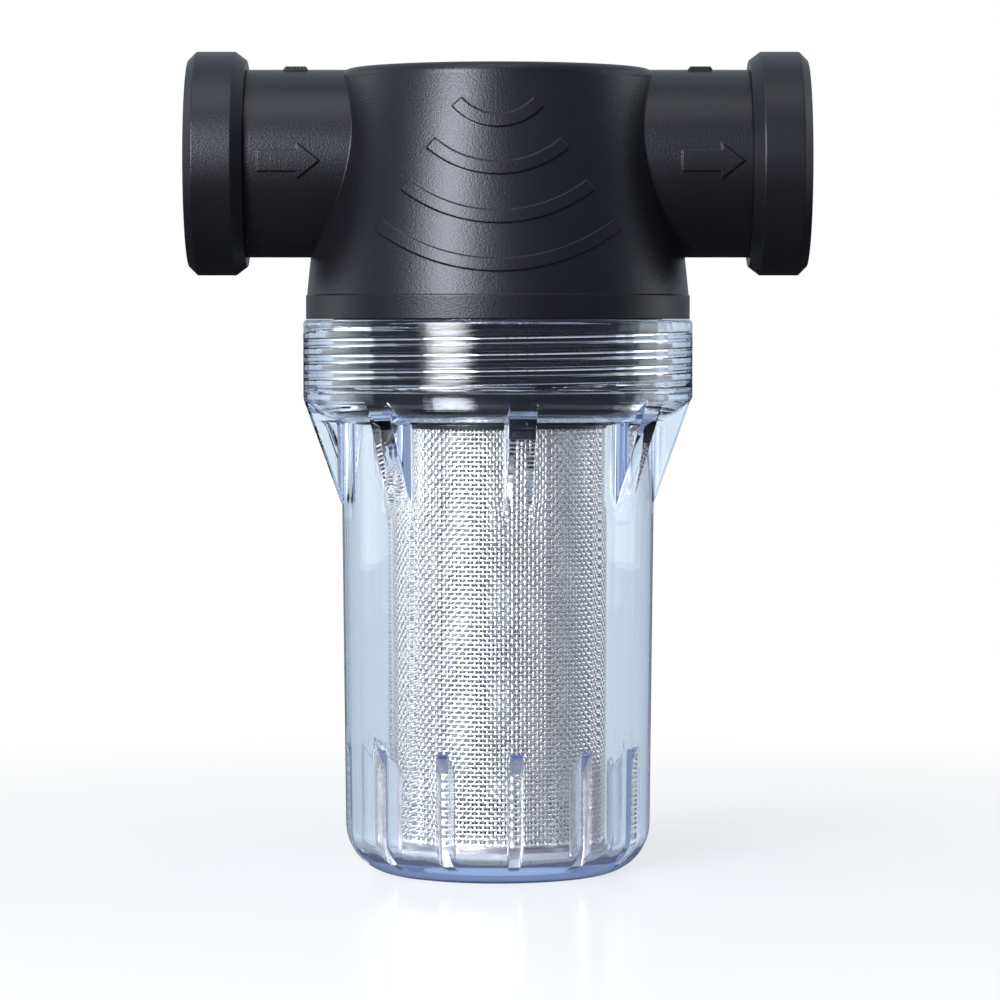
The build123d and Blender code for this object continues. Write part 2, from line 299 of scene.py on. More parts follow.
@dataclass(frozen=True)
class ClearPlastic(Finish):
    """Clear moulded plastic: tinted in its depth, with slight flow ripples and matt guide ribs."""

    index: float
    roughness: float
    haze: float
    ripple_depth: float
    lamp_share: Colour
    frosted_within: float
    frosted_above: float
    frosted_roughness: float
    body_colour: Colour
    body_density: float

    def constants(self) -> dict:
        """Clear body of the moulding."""
        return {
            "Base Color": self.colour, "Transmission Weight": 1.0, "IOR": self.index,
            "Roughness": self.roughness, "Specular IOR Level": 0.5,
        }

    def paint(self, graph: Graph) -> dict:
        """Slow ripples along the flow of the moulding, a faint haze, and the matt faces nearest the axis."""
        ripple = graph.noise(90.0, 1.0, graph.stretched((1.0, 1.0, 0.25)))
        haze = graph.spread(graph.noise(60.0, 2.0), 0.35, 0.7, self.roughness, self.roughness + self.haze)
        edge = self.frosted_within
        within = graph.spread(graph.length(graph.arm()), edge - 0.2 * MM, edge, 1.0, 0.0)
        _, _, height = graph.parts(graph.place())
        above = graph.spread(height, self.frosted_above, self.frosted_above + 0.8 * MM)
        return {
            "Roughness": haze + within * above * self.frosted_roughness,
            "Normal": graph.bump(ripple, self.ripple_depth),
        }

    def inside(self, graph: Graph) -> dict:
        """Blue body colour, which shows where the light runs along a wall."""
        inputs = {"Color": self.body_colour, "Density": self.body_density}
        return {"Volume": graph.node("ShaderNodeVolumeAbsorption", None, inputs).outputs["Volume"]}

    def surface(self, graph: Graph, shader: Node) -> Node:
        """Lets the lamps through to what the bowl holds, and lets out rays caught between its walls."""
        clear = graph.node("ShaderNodeBsdfTransparent", None, {"Color": self.lamp_share})
        rays = graph.rays()
        trapped = graph.spread(rays["Glossy Depth"], 3.0, 4.0)
        return graph.blend(rays["Is Shadow Ray"], graph.blend(trapped, shader, clear), clear)


@dataclass(frozen=True)
class Steel(Finish):
    """Bright drawn or spun stainless steel, with painted shade on the faces near the axis."""

    dull_colour: Colour
    roughness: float
    streaks: tuple[float, float, float]
    # painted shade: faces nearer the axis than painted_shade_within take this darker colour
    painted_shade_colour: Colour
    painted_shade_within: float = 0.0
    pressed: float = 0.0

    def constants(self) -> dict:
        """Bare metal."""
        return {"Base Color": self.colour, "Metallic": 1.0}

    def paint(self, graph: Graph) -> dict:
        """Drawing streaks in tone, gloss and relief, on a normal turned partly to the round of the piece.

        The normal is mixed with the direction away from the axis by the share in pressed, as pressed cloth
        reflects in one broad band. Below the radius painted_shade_within the colour darkens, as painted
        shade.

        Args:
            graph: The material's graph.

        Returns:
            The shader's inputs.
        """
        streak = graph.noise(1.0, 2.0, graph.stretched(self.streaks))
        arm = graph.arm()
        # painted shade: darkens the wires' inner faces and the gaps seen into the cloth
        painted_shade = graph.spread(graph.length(arm), self.painted_shade_within - 0.2 * MM, self.painted_shade_within + 0.2 * MM)
        round_the_axis = graph.node("ShaderNodeVectorMath", {"operation": "NORMALIZE"}, {0: arm}).outputs[0]
        own = graph.node("ShaderNodeNewGeometry").outputs["Normal"]
        inputs = {"Factor": self.pressed, 4: own, 5: round_the_axis}
        eased = graph.node("ShaderNodeMix", {"data_type": "VECTOR"}, inputs).outputs[1]
        return {
            "Base Color": graph.mix(painted_shade, self.painted_shade_colour, graph.mix(streak, self.colour, self.dull_colour)),
            "Roughness": graph.spread(streak, 0.3, 0.7, self.roughness - 0.06, self.roughness + 0.08),
            "Normal": graph.bump(streak, 0.004 * MM, eased),
        }


@dataclass(frozen=True)
class Rubber(Finish):
    """Matte moulded rubber."""

    bloom_colour: Colour
    roughness: float

    def paint(self, graph: Graph) -> dict:
        """Faint bloom and a soft, uneven skin."""
        bloom = graph.spread(graph.noise(300.0, 4.0), 0.4, 0.7)
        return {
            "Base Color": graph.mix(bloom, self.colour, self.bloom_colour),
            "Roughness": bloom * 0.12 + self.roughness,
            "Normal": graph.bump(graph.noise(2500.0, 2.0), 0.01 * MM),
        }


BLACK = (0.0034, 0.0036, 0.005, 1.0)
WORN_BLACK = (0.005, 0.0053, 0.0072, 1.0)
HEAD_PLASTIC = MouldedPlastic(
    "grained_head", BLACK, WORN_BLACK, roughness=0.36, grain_per_metre=2600.0, grain_depth=0.038 * MM,
    edge_radius=0.4 * MM, polished_below=104.9 * MM)
RING_PLASTIC = MouldedPlastic(
    "grained_ring", BLACK, WORN_BLACK, roughness=0.36, grain_per_metre=2800.0, grain_depth=0.03 * MM,
    edge_radius=0.4 * MM)
CAP_PLASTIC = MouldedPlastic(
    "satin_cap", (0.012, 0.012, 0.014, 1.0), (0.018, 0.018, 0.02, 1.0), roughness=0.3,
    grain_per_metre=3000.0, grain_depth=0.006 * MM, edge_radius=0.2 * MM)
BAND_PLASTIC = MouldedPlastic(
    "satin_band", (0.008, 0.008, 0.01, 1.0), (0.012, 0.012, 0.014, 1.0), roughness=0.35,
    grain_per_metre=3000.0, grain_depth=0.006 * MM, edge_radius=0.1 * MM)
BOWL_CLEAR = ClearPlastic(
    "clear_bowl", (0.99, 0.994, 1.0, 1.0), index=1.47, roughness=0.0, haze=0.01, ripple_depth=0.001 * MM,
    lamp_share=(0.97, 0.98, 0.99, 1.0), frosted_within=25.3 * MM, frosted_above=5.2 * MM,
    frosted_roughness=0.22, body_colour=(0.47, 0.58, 0.86, 1.0), body_density=28.0)
# the screen's painted_shade_colour is painted shade on the inner side of the cloth
SCREEN_STEEL = Steel(
    "woven_steel", (0.95, 0.93, 0.92, 1.0), (0.86, 0.85, 0.85, 1.0), roughness=0.24,
    streaks=(900.0, 900.0, 900.0), painted_shade_colour=(0.45, 0.45, 0.48, 1.0), painted_shade_within=20.22 * MM, pressed=0.55)
# the cap's painted shade has a radius of 0, so it never shows
CAP_STEEL = Steel(
    "spun_steel", (0.6, 0.62, 0.66, 1.0), (0.46, 0.48, 0.52, 1.0), roughness=0.32,
    streaks=(40.0, 40.0, 2600.0), painted_shade_colour=(0.3, 0.3, 0.33, 1.0))
SEAL_RUBBER = Rubber("soft_seal", (0.014, 0.014, 0.015, 1.0), (0.024, 0.024, 0.025, 1.0), roughness=0.55)
PAD_RUBBER = Rubber("soft_pad", (0.3, 0.32, 0.36, 1.0), (0.36, 0.38, 0.42, 1.0), roughness=0.45)


class Mesh:
    """Meshes worked out as whole arrays of points and faces."""

    @staticmethod
    def grid_faces(rows: int, columns: int, wrap_rows: bool, wrap_columns: bool) -> Array:
        """Quads of a grid of points numbered row by row.

        Args:
            rows: Number of rows.
            columns: Number of points in a row.
            wrap_rows: Whether the last row joins the first.
            wrap_columns: Whether the last column joins the first.

        Returns:
            One row of four point numbers for each quad, wound so that the face looks along the cross
            product of the direction along a row and the direction from row to row.
        """
        numbers = np.arange(rows * columns).reshape(rows, columns)
        numbers = np.pad(numbers, ((0, int(wrap_rows)), (0, int(wrap_columns))), mode="wrap")
        corners = (numbers[:-1, :-1], numbers[:-1, 1:], numbers[1:, 1:], numbers[1:, :-1])
        return np.stack([corner.ravel() for corner in corners], axis=1)

    @staticmethod
    def piece(name: str, points: Array, quads: Array, triangles: Optional[Array],
              material: bpy.types.Material, crease_degrees: float = 35.0) -> bpy.types.Object:
        """Makes an object at the origin from point and face arrays.

        Args:
            name: The piece's name.
            points: One row of x, y and z for each point.
            quads: Four point numbers for each quad.
            triangles: Three point numbers for each triangle, or None.
            material: Its material.
            crease_degrees: Edges sharper than this stay sharp in the shading.

        Returns:
            The linked object.
        """
        triangles = np.empty((0, 3), int) if triangles is None else triangles
        loops = np.concatenate([quads.ravel(), triangles.ravel()]).astype(np.int32)
        sizes = np.concatenate([np.full(len(quads), 4), np.full(len(triangles), 3)])
        starts = np.concatenate([[0], np.cumsum(sizes)[:-1]]).astype(np.int32)
        mesh = bpy.data.meshes.new(name)
        mesh.vertices.add(len(points))
        mesh.vertices.foreach_set("co", np.asarray(points, np.float32).ravel())
        mesh.loops.add(len(loops))
        mesh.loops.foreach_set("vertex_index", loops)
        mesh.polygons.add(len(sizes))
        mesh.polygons.foreach_set("loop_start", starts)
        mesh.update(calc_edges=True)
        mesh.validate()
        mesh.polygons.foreach_set("use_smooth", np.ones(len(mesh.polygons), bool))
        mesh.set_sharp_from_angle(angle=math.radians(crease_degrees))
        mesh.materials.append(material)
        made = bpy.data.objects.new(name, mesh)
        bpy.context.scene.collection.objects.link(made)
        return made

    @staticmethod
    def tube(paths: Array, outward: Array, across: Array, radius: float, sides: int,
             closed: bool) -> Arrays:
        """Round wires carried along many paths at once.

        Each point of a wire's skin is its path's point plus radius times the cosine of a turn along the
        outward direction plus the sine of it along the across direction.

        Args:
            paths: Points of every path, as (wire, step, 3).
            outward: Unit direction away from the axis at each point.
            across: Unit direction along the surface, square to the wire, at each point.
            radius: The wire's radius.
            sides: Points round the wire.
            closed: Whether each wire joins its own start.

        Returns:
            Points and quads of all the wires.
        """
        wires, steps, _ = paths.shape
        turn = np.arange(sides) * TURN / sides
        cos, sin = np.cos(turn)[:, None], np.sin(turn)[:, None]
        points = paths[:, :, None] + radius * (outward[:, :, None] * cos + across[:, :, None] * sin)
        one = Mesh.grid_faces(steps, sides, closed, True)
        quads = one[None] + (np.arange(wires) * steps * sides)[:, None, None]
        return points.reshape(-1, 3), quads.reshape(-1, 4)


@dataclass(frozen=True)
class Corner:
    """One corner of a half section.

    The step is the longest allowed on the edge after the corner, in millimetres, and bends is the number of
    steps round its rounding.
    """

    radius: float
    height: float
    rounding: float = 0.0
    step: float = 1.0
    bends: int = 4


class Section:
    """A half section about the vertical axis, walked from corner to corner."""

    @staticmethod
    def walk(corners: list[Corner]) -> Array:
        """Points along the outline with every rounded corner as an arc.

        A corner's arc starts and ends at its rounding times the tangent of half the turn away from the
        corner, and its points are the arc's centre plus the rounding along directions spread evenly between
        the two ends.

        Args:
            corners: The outline's corners in order; the first and last aren't rounded.

        Returns:
            One row of radius and height for each point.
        """
        places = np.array([(c.radius, c.height) for c in corners])
        points: list[Array] = [places[:1]]
        for number in range(1, len(corners)):
            here, corner = places[number], corners[number]
            arrive = here - places[number - 1]
            arrive = arrive / np.linalg.norm(arrive)
            arc = here[None]
            if corner.rounding > 0:
                leave = places[number + 1] - here
                leave = leave / np.linalg.norm(leave)
                turn = math.acos(float(np.clip(arrive @ leave, -1, 1)))
                reach = corner.rounding * math.tan(turn / 2)
                inward = leave - arrive
                inward = inward / np.linalg.norm(inward)
                centre = here + inward * corner.rounding / math.cos(turn / 2)
                start = here - arrive * reach - centre
                share = np.linspace(0, 1, corner.bends + 1)[:, None]
                end = here + leave * reach - centre
                spokes = np.sin((1 - share) * turn) * start + np.sin(share * turn) * end
                arc = centre + spokes / math.sin(turn)
            run = arc[0] - points[-1][-1]
            pieces = max(1, math.ceil(np.linalg.norm(run) / corners[number - 1].step / MM - 1e-6))
            share = np.linspace(0, 1, pieces + 1)[1:, None]
            points.append(points[-1][-1] + run * share)
            if len(arc) > 1:
                points.append(arc[1:])
        return np.concatenate(points)


@dataclass(frozen=True)
class Thread:
    """A right-handed moulded thread."""

    pitch: float
    depth: float
    crest: float
    root: float
    start: float
    end: float
    run_out: float

    def height(self, turn: Array, rise: Array) -> Array:
        """Share of the thread's depth at a place, from 0 at the root to 1 on the crest.

        The distance from the ridge's middle is the pitch times how far the height in pitches, less the turn
        in whole turns, lies from the nearest whole number; the ridge falls smoothly from its crest to its
        root over that distance, and fades out at both ends of the thread.

        Args:
            turn: Angles about the axis.
            rise: Heights.

        Returns:
            The share at each place.
        """
        along = rise / self.pitch - turn / TURN
        away = np.abs(along - np.round(along)) * self.pitch
        ridge = smooth((self.root - away) / (self.root - self.crest))
        fade = smooth((rise - self.start) / self.run_out) * smooth((self.end - rise) / self.run_out)
        return ridge * fade


def smooth(share: Array) -> Array:
    """Clamps to 0 and 1 and eases both ends: three times the square less twice the cube."""
    share = np.clip(share, 0.0, 1.0)
    return share * share * (3 - 2 * share)


@dataclass(frozen=True)
class Ribs:
    """Ribs spread evenly about the axis, each with parallel sides, a rounded edge and a filleted foot.

    The phase is the first rib's angle from the front, in degrees.
    """

    count: int
    phase: float
    half_width: float
    edge: float
    fillet: float

    def centres(self) -> Array:
        """Angles of the ribs' middles."""
        return np.radians(self.phase - 90 + 360 * np.arange(self.count) / self.count)

    def away(self, angles: Array) -> Array:
        """Angle from each given angle to the nearest rib's middle, the shorter way round."""
        return np.abs((angles[:, None] - self.centres()[None] + np.pi) % TURN - np.pi).min(axis=1)

    def lanes(self) -> list[tuple[float, bool, float]]:
        """Lines that run along one side of a rib.

        Returns:
            For each line its distance from the rib's middle, whether it lies up on the rib, and how far it
            is above the wall or below the rib's face.
        """
        near, half, edge, fillet = 1 - math.sqrt(0.5), self.half_width, self.edge, self.fillet
        return [
            (half + fillet, False, 0.0),
            (half + near * fillet, False, near * fillet),
            (half, False, fillet),
            (half, True, edge),
            (half - near * edge, True, near * edge),
            (half - edge, True, 0.0),
        ]


@dataclass
class Bowl:
    """The clear bowl: one closed skin with its thread, gussets and guide ribs."""

    rim_height: float
    collar_radius: float
    collar_bottom: float = 90.1 * MM
    side_radius_top: float = 29.8 * MM
    side_radius_bottom: float = 28.8 * MM
    wall: float = 2.9 * MM
    floor: float = 4.5 * MM
    foot_gap: float = 0.06 * MM
    foot_rounding: float = 9.5 * MM
    inner_rounding: float = 3.5 * MM
    shoulder_bottom: float = 86.0 * MM
    ledge_height: float = 88.0 * MM
    plug_bore: float = 32.3 * MM
    thread_bore: float = 33.9 * MM
    plug_top: float = 91.6 * MM
    shoulder_radius: float = 33.5 * MM
    shoulder_height: float = 87.2 * MM
    shoulder_rounding: float = 4.0 * MM
    edge_rounding: float = 0.8 * MM
    bore_rounding: float = 0.3 * MM
    lead_width: float = 0.8 * MM
    lead_height: float = 0.9 * MM
    rim_edge: float = 0.4 * MM
    gusset_foot: float = 70.1 * MM
    gusset_sink: float = 0.1 * MM
    part_draft: float = 0.2 * MM    # how far the draft has moved the wall at the ribs' ends
    pole_radius: float = 1.0 * MM
    guide_top: float = 24.8 * MM
    guide_lead: float = 3.9 * MM
    guide_radius: float = 22.5 * MM
    plain_columns: int = 150
    line_gap: float = 0.5 * MM      # room kept free of plain lines beside a rib's foot
    rows_per_pitch: int = 16
    gussets: Ribs = Ribs(count=8, phase=7.5, half_width=2.6 * MM, edge=0.3 * MM, fillet=0.35 * MM)
    guides: Ribs = Ribs(count=12, phase=7.5, half_width=1.1 * MM, edge=0.3 * MM, fillet=0.3 * MM)
    thread: Thread = Thread(
        pitch=3.0 * MM, depth=1.8 * MM, crest=0.3 * MM, root=1.05 * MM, start=92.0 * MM, end=103.8 * MM,
        run_out=1.2 * MM)

    def section(self) -> tuple[Array, int]:
        """Half section from the middle of the foot, up the outside, and down the inside to the floor.

        Returns:
            The points, and how many of them are on the outside.
        """
        rim, collar, bore = self.rim_height, self.collar_radius, self.thread_bore
        top_in = self.side_radius_top - self.wall
        low_in = self.side_radius_bottom - self.wall
        outside = Section.walk([
            Corner(self.pole_radius, self.foot_gap, step=6.0),
            Corner(self.side_radius_bottom, self.foot_gap, self.foot_rounding, 3.6, 16),
            Corner(self.side_radius_top - self.part_draft, self.gusset_foot, step=1.1),
            Corner(self.side_radius_top, self.shoulder_bottom, self.edge_rounding, 0.6, 4),
            Corner(self.shoulder_radius, self.shoulder_height, self.shoulder_rounding, 0.6, 6),
            Corner(collar, self.collar_bottom, self.edge_rounding, 1.6, 4),
            Corner(collar, rim, self.edge_rounding, 1.0, 5),
            Corner(bore + self.lead_width + self.rim_edge, rim),
        ])
        inside = Section.walk([
            Corner(bore + self.lead_width, rim, step=0.5),
            Corner(bore, rim - self.lead_height, step=self.thread.pitch / self.rows_per_pitch / MM),
            Corner(bore, self.plug_top, self.bore_rounding, 0.5, 2),
            Corner(self.plug_bore, self.plug_top, self.bore_rounding, 0.6, 2),
            Corner(self.plug_bore, self.ledge_height, 1.8 * MM, 1.2, 7),
            Corner(top_in, self.ledge_height, 0.4 * MM, 3.8, 3),
            Corner(low_in + self.part_draft, self.guide_top, step=0.6),
            Corner(low_in + self.part_draft, self.guide_top - self.guide_lead, step=2.0),
            Corner(low_in, self.floor, self.inner_rounding, 3.5, 9),
            Corner(self.pole_radius, self.floor),
        ])
        return np.concatenate([outside, inside]), len(outside)

    def lanes(self) -> tuple[Array, Array, Array, Array]:
        """Lines that run up the bowl, ordered by angle.

        Returns:
            For each line its rib's middle angle, its distance from that middle, and its gusset and guide
            lane numbers, or -1 where it isn't one of a rib's own lines.
        """
        reference = self.guide_radius
        found: list[tuple[float, float, int, int]] = []
        for kind, ribs in enumerate((self.gussets, self.guides)):
            for centre in ribs.centres():
                for number, (offset, _, _) in enumerate(ribs.lanes()):
                    for side in (-1, 1):
                        numbers = (number, -1) if kind == 0 else (-1, number)
                        found.append((centre, side * offset, *numbers))
        angles = TURN * np.arange(self.plain_columns) / self.plain_columns - np.pi
        clear = np.ones(len(angles), bool)
        for ribs in (self.gussets, self.guides):
            room = math.asin((ribs.half_width + ribs.fillet + self.line_gap) / reference)
            clear &= ribs.away(angles) > room
        found += [(angle, 0.0, -1, -1) for angle in angles[clear]]
        lanes = np.array(found)
        place = lanes[:, 0] + np.arcsin(lanes[:, 1] / reference)
        order = np.lexsort((self._side_order(lanes), np.round(place % TURN, 9)))
        return tuple(lanes[order].T)

    def _side_order(self, lanes: Array) -> Array:
        """Puts the two lines at the same side of a rib in walking order."""
        own = np.maximum(lanes[:, 2], lanes[:, 3])
        return np.where(lanes[:, 1] < 0, own, -own)

    def _lift(self, ribs: Ribs, own: Array, gap: Array, height: Array) -> Array:
        """How far the skin stands off the wall because of a rib.

        On a line up on the rib it is the rib's height less the line's drop, on a line of the foot it is the
        line's rise, and elsewhere it is the whole height inside the rib and nothing outside it.

        Args:
            ribs: The ribs.
            own: Lane number of each line, or -1.
            gap: Distance of each line from the nearest rib's middle, at the wall.
            height: Height of the rib above the wall at each row.

        Returns:
            The lift, as (row, line).
        """
        lanes = ribs.lanes()
        raised = np.array([lane[1] for lane in lanes] + [False])[own.astype(int)]
        amount = np.array([lane[2] for lane in lanes] + [0.0])[own.astype(int)]
        inside = (own < 0) & (gap < ribs.half_width - 0.9 * ribs.edge)
        share = np.clip(height / (ribs.edge + ribs.fillet), 0, 1)[:, None]
        full = np.maximum(height, 0)[:, None]
        lift = np.where(raised[None], full - amount[None] * share, amount[None] * share)
        return np.where(inside[None], full, lift)

    def helical_faces(self, rows: int, columns: int, bore: Array, count: Array) -> Arrays:
        """Faces of the skin, whose rows in the threaded bore climb with the thread.

        A row of the bore climbs with the thread until it has risen by one row's spacing, where it takes
        over from the row above. At such a line each point joins the next line's point one row higher, and a
        triangle closes the corner left at each end of the bore.

        Args:
            rows: Number of rows.
            columns: Number of lines.
            bore: Numbers of the bore's rows, from the top.
            count: How many spacings the bore's rows have risen at each line.

        Returns:
            The quads and the triangles.
        """
        quads = Mesh.grid_faces(rows, columns, False, True).reshape(rows - 1, columns, 4)
        left = np.flatnonzero(count != np.roll(count, -1))
        right = (left + 1) % columns
        first, last = bore[0], bore[-1]
        middle = bore[1:-1, None] * columns
        here, there = middle + left[None], middle + right[None]
        quads[bore[1:-1][:, None], left[None]] = np.stack([here, there - columns, there, here + columns], -1)
        kept = np.ones((rows - 1, columns), bool)
        kept[first, left] = False
        top = np.stack([first * columns + left, first * columns + right, (first + 1) * columns + left], 1)
        low = np.stack([last * columns + left, (last - 1) * columns + right, last * columns + right], 1)
        return quads[kept], np.concatenate([top, low])

    def rib_heights(self, base: Array, rise: Array, outside: Array) -> Arrays:
        """How far the gussets and the guides stand off the wall along the section.

        A gusset's height is its face less the wall, and its face runs straight from just inside the wall at
        its foot to the collar. A guide's height is the wall less its edge, and its edge lies at its own
        radius, or leans from there towards the wall over the lead at its top.

        Args:
            base: Radius at each point of the section.
            rise: Height at each point.
            outside: Whether each point is on the outside.

        Returns:
            The heights of the gussets and of the guides, 0 or less where there are none.
        """
        slope = (rise - self.gusset_foot) / (self.collar_bottom - self.gusset_foot)
        foot = self.side_radius_top - self.gusset_sink
        face = foot + slope * (self.collar_radius - foot)
        gusset = np.where(outside & (slope > 0) & (slope < 1), face - base, 0.0)
        lead = np.clip((rise - self.guide_top + self.guide_lead) / self.guide_lead, 0, 1)
        wall = self.side_radius_bottom - self.wall + self.part_draft
        edge = self.guide_radius + lead * (wall - self.guide_radius)
        return gusset, np.where(~outside & (rise < self.guide_top), base - edge, 0.0)

    def build(self) -> bpy.types.Object:
        """Builds the skin.

        Each point of a grid of section points by lines lies at its section point's radius, less the thread
        in the collar's bore, plus the lift of a gusset outwards or of a guide inwards. Its angle is the
        rib's middle plus the angle whose sine is the line's distance over that radius, or over the guides'
        radius where that is larger. Its height is its section point's, and in the bore's inner rows the
        first row's height less one spacing a row, plus the part of a spacing that the thread has climbed at
        its angle.

        Returns:
            The dressed piece.
        """
        section, outside_count = self.section()
        base, rise = section.T
        outside = np.arange(len(base)) < outside_count
        middle, offset, own_gusset, own_guide = self.lanes()
        angle = middle + np.arcsin(offset / self.side_radius_bottom)
        gusset, guide = self.rib_heights(base, rise, outside)
        lift = np.zeros((len(base), len(angle)))
        kinds = ((self.gussets, own_gusset, gusset, 1), (self.guides, own_guide, guide, -1))
        for ribs, own, height, sign in kinds:
            gap = np.sin(ribs.away(angle)) * self.side_radius_bottom
            lift += sign * self._lift(ribs, own, gap, np.maximum(height, 0))
        radius = base[:, None] + lift
        steady = np.maximum(radius, self.guide_radius)
        turn = middle[None] + np.arcsin(offset[None] / steady)
        bore = np.flatnonzero(~outside & (np.abs(base - self.thread_bore) < 1e-7))
        rows, columns = turn.shape
        steps = self.rows_per_pitch * (turn[bore[0]] % TURN) / TURN
        spacing = self.thread.pitch / self.rows_per_pitch
        inner = bore[1:-1]
        level = np.broadcast_to(rise[:, None], turn.shape).copy()
        fallen = spacing * np.arange(1, len(inner) + 1)[:, None]
        level[inner] = rise[bore[0]] - fallen + spacing * (steps % 1)[None]
        radius[bore] -= self.thread.depth * self.thread.height(turn[bore], level[bore])
        points = np.stack([radius * np.cos(turn), radius * np.sin(turn), level], -1)
        quads, corners = self.helical_faces(rows, columns, bore, np.floor(steps).astype(int))
        ring = np.arange(columns)
        following = (ring + 1) % columns
        last = (rows - 1) * columns
        poles = rows * columns + np.arange(2)
        foot = np.stack([np.full(columns, poles[0]), following, ring], 1)
        floor = np.stack([last + ring, last + following, np.full(columns, poles[1])], 1)
        centres = np.array([(0, 0, self.foot_gap), (0, 0, self.floor)])
        everything = np.concatenate([points.reshape(-1, 3), centres])
        triangles = np.concatenate([foot, floor, corners])
        piece = Mesh.piece("bowl_skin", everything, quads, triangles, BOWL_CLEAR.material())
        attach(piece, "bowl")
        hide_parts("bowl")
        log.info("bowl_skin: %d rows by %d lines", rows, columns)
        return piece


@dataclass
class Ridge:
    """A helical ridge of a moulded thread, standing on a round wall."""

    wall_radius: float
    outward: bool
    thread: Thread
    phase: float
    steps_per_turn: int = 90

    def points(self) -> Arrays:
        """Ridge as a section carried along a helix.

        The section's points stand off the wall by the depth, eased out at both ends of the helix, and the
        helix climbs one pitch for each turn. The section's foot is sunk slightly into the wall.

        Returns:
            Points about the Z axis, and quads.
        """
        thread = self.thread
        turns = (thread.end - thread.start) / thread.pitch
        steps = int(turns * self.steps_per_turn)
        along = np.linspace(0, turns, steps)
        eased = thread.pitch / thread.run_out
        fade = smooth(along * eased) * smooth((turns - along) * eased)
        half, root = thread.crest, thread.root
        flank = 0.75 * root + 0.25 * half
        across = np.array([-root, -root, -flank, -half, 0, half, flank, root, root])
        stand = np.array([-0.25, 0.0, 0.3, 0.97, 1.0, 0.97, 0.3, 0.0, -0.25]) * thread.depth
        raised = np.where(stand[None] > 0, stand[None] * fade[:, None], stand[None])
        radius = self.wall_radius + (raised if self.outward else -raised)
        turn = TURN * (along + self.phase)[:, None]
        rise = thread.start + (along * thread.pitch)[:, None] + across[None]
        level = np.broadcast_to(rise, radius.shape)
        points = np.stack([radius * np.cos(turn), radius * np.sin(turn), level], -1)
        caps = np.array([(0, 1, 7, 8), (1, 2, 6, 7), (2, 3, 5, 6)])
        end_caps = caps[:, ::-1] + (steps - 1) * len(across)
        quads = np.concatenate([Mesh.grid_faces(steps, len(across), False, True), caps, end_caps])
        return points.reshape(-1, 3), quads[:, ::-1] if self.outward else quads


@dataclass
class Head:
    """The moulded head with its rings, washers and threads."""

    port_height: float
    skirt_radius: float = 31.2 * MM
    port_bore: float = 13.3 * MM
    skirt_thread: Thread = Thread(
        pitch=3.0 * MM, depth=2.3 * MM, crest=0.3 * MM, root=1.05 * MM, start=92.6 * MM, end=103.4 * MM,
        run_out=2.0 * MM)
    port_thread: Thread = Thread(
        pitch=1.814 * MM, depth=1.0 * MM, crest=0.25 * MM, root=0.8 * MM, start=44.2 * MM, end=56.4 * MM,
        run_out=1.5 * MM)

    def dress(self) -> None:
        """Gives the head's solids their finishes and adds its threads."""
        dress_node("head_body", HEAD_PLASTIC)
        dress_node("inlet_ring", RING_PLASTIC)
        dress_node("outlet_ring", RING_PLASTIC)
        for name in ("inlet_washer", "outlet_washer", "bowl_seal"):
            dress_node(name, SEAL_RUBBER)
        self.skirt_ridge()
        for side in Side:
            self.port_ridge(side)

    def skirt_ridge(self) -> None:
        """Adds the skirt's outside thread, half a pitch away from the bowl's."""
        thread = self.skirt_thread
        ridge = Ridge(self.skirt_radius, True, thread, thread.start / thread.pitch - 0.5)
        self._finish("skirt_thread", *ridge.points())

    def port_ridge(self, side: Side) -> None:
        """Adds the inside thread of one port, turned from the Z axis onto the flow line.

        Args:
            side: The end of the flow line.
        """
        points, quads = Ridge(self.port_bore, False, self.port_thread, 0.0, 60).points()
        x, y, z = points.T
        turned = np.stack([side.value * z, side.value * y, x + self.port_height], -1)
        self._finish(f"{side.name.lower()}_thread", turned, quads)

    @staticmethod
    def _finish(name: str, points: Array, quads: Array) -> None:
        """Makes one thread a piece of the head."""
        piece = Mesh.piece(name, points, quads, None, HEAD_PLASTIC.material())
        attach(piece, "head")
        log.info("%s: %d faces", name, len(quads))


